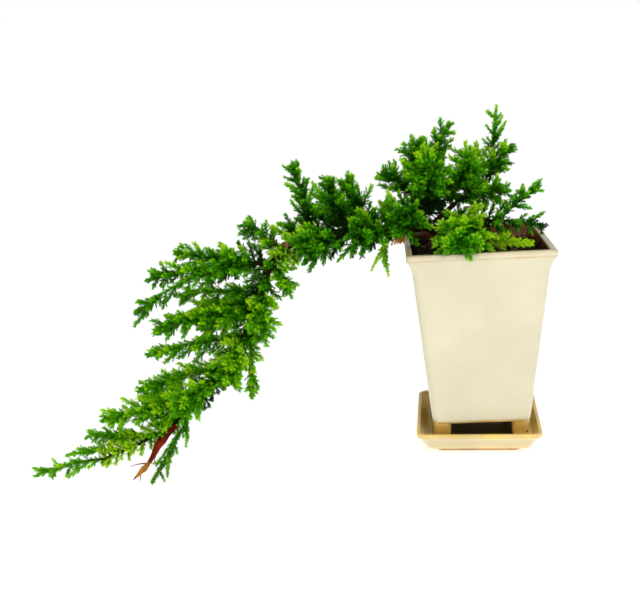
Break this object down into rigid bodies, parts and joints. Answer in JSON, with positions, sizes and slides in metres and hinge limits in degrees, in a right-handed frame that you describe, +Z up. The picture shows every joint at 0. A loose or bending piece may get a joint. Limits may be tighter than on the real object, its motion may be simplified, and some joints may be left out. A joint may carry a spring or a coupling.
{
  "type": "cascade juniper bonsai",
  "caption": "Bonsai juniper in full cascade: a trunk that arches over the rim of a tall square glazed pot and falls to one side, on its own shallow tray.",
  "frame": {"origin": "middle of the tray's flat underside, which stands on the surface", "axes": "+Z up; the trunk falls away towards -X and a little towards -Y, the side the picture is taken from"},
  "size_m": [0.4612, 0.2498, 0.3201],
  "materials": {
    "pot_glaze": "glossy cream glaze",
    "tray_glaze": "glossy cream glaze, ochre on the edges",
    "soil": "moist dark potting soil",
    "bark": "flaky brown bark",
    "dead_wood": "bare reddish dead wood",
    "needles": "green needle foliage"
  },
  "bodies": {
    "root": {"tray": "tray_glaze", "pot": "pot_glaze", "soil": "soil", "trunk": "bark", "trunk_arch": "bark", "trunk_fall": "bark", "trunk_tail": "bark", "bough_right": "bark", "bough_centre": "bark", "bough_back": "bark", "bough_front": "bark", "bough_fan": "bark", "dead_branch": "dead_wood", "crown_top": "needles", "crown_right": "needles", "crown_front": "needles", "crown_back": "needles", "crown_low": "needles", "centre_top": "needles", "centre_left": "needles", "centre_low_left": "needles", "centre_front": "needles", "centre_front_low": "needles", "centre_back": "needles", "back_low": "needles", "back_left": "needles", "low_front": "needles", "low_right": "needles", "low_far": "needles", "soil_spray": "needles", "arch_right": "needles", "arch_top": "needles", "arch_left": "needles", "arch_end": "needles", "arch_front": "needles", "arch_front_left": "needles", "arch_back": "needles", "under_right": "needles", "fan_top": "needles", "fan_upper": "needles", "fan_left": "needles", "fan_low": "needles", "fan_front": "needles", "fan_back": "needles", "middle_upper": "needles", "middle_left": "needles", "middle_low": "needles", "fall_right": "needles", "fall_front": "needles", "fall_front_low": "needles", "hanging_right": "needles", "fall_back": "needles", "tail_upper": "needles", "tail_front": "needles", "tail_left": "needles", "tail_under": "needles", "tail_back": "needles", "end_top": "needles", "end_tip": "needles", "hanging_spray": "needles"}
  },
  "joints": []
}
